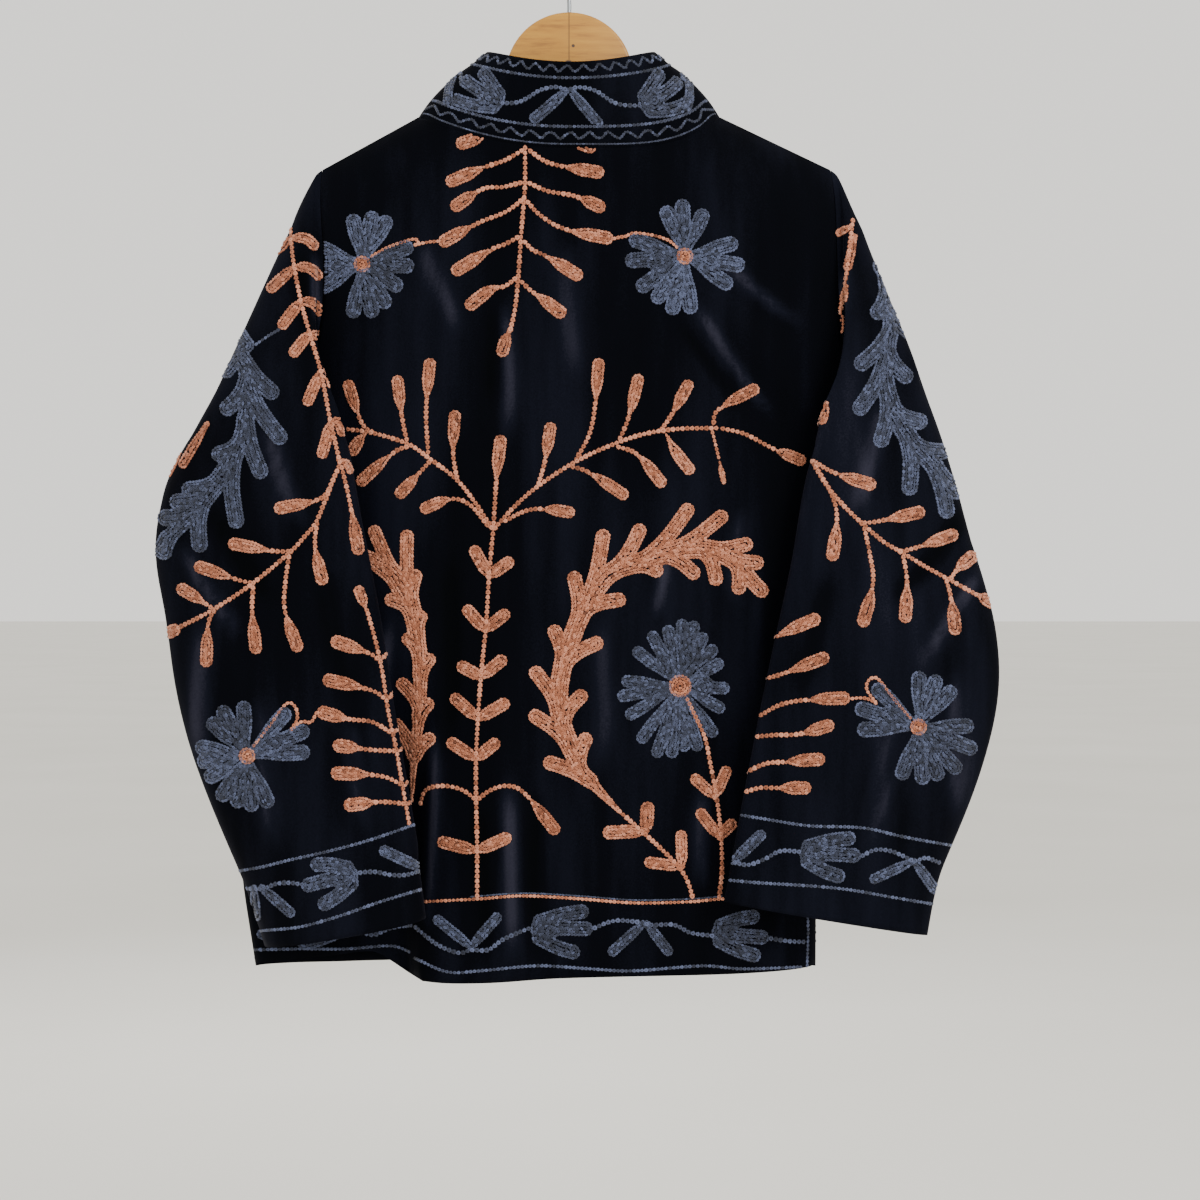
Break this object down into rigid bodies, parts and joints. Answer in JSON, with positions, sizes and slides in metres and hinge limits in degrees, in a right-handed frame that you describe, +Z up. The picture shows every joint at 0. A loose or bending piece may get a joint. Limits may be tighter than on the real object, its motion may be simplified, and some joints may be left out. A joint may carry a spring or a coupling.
{
  "type": "embroidered velvet jacket on a wooden hanger",
  "caption": "Long-sleeved velvet jacket with a stand collar and embroidered flowers, hanging open at hem and cuffs on a flat wooden hanger with a wire hook.",
  "frame": {"origin": "inside top of the hanger's wire hook, where a rail carries it", "axes": "+Z up; +Y out of the jacket's back; +X towards the wearer's left, on the observer's left when the back is seen"},
  "size_m": [0.6995, 0.1372, 0.8686],
  "materials": {
    "velvet": "blue-black pile, soft sheen",
    "wood": "clear lacquer on pale wood",
    "wire": "plain wire"
  },
  "bodies": {
    "root": {"back": "velvet", "front_left": "velvet", "front_right": "velvet", "sleeve_left": "velvet", "sleeve_right": "velvet", "collar": "velvet", "hanger": "wood", "hook": "wire"}
  },
  "joints": []
}
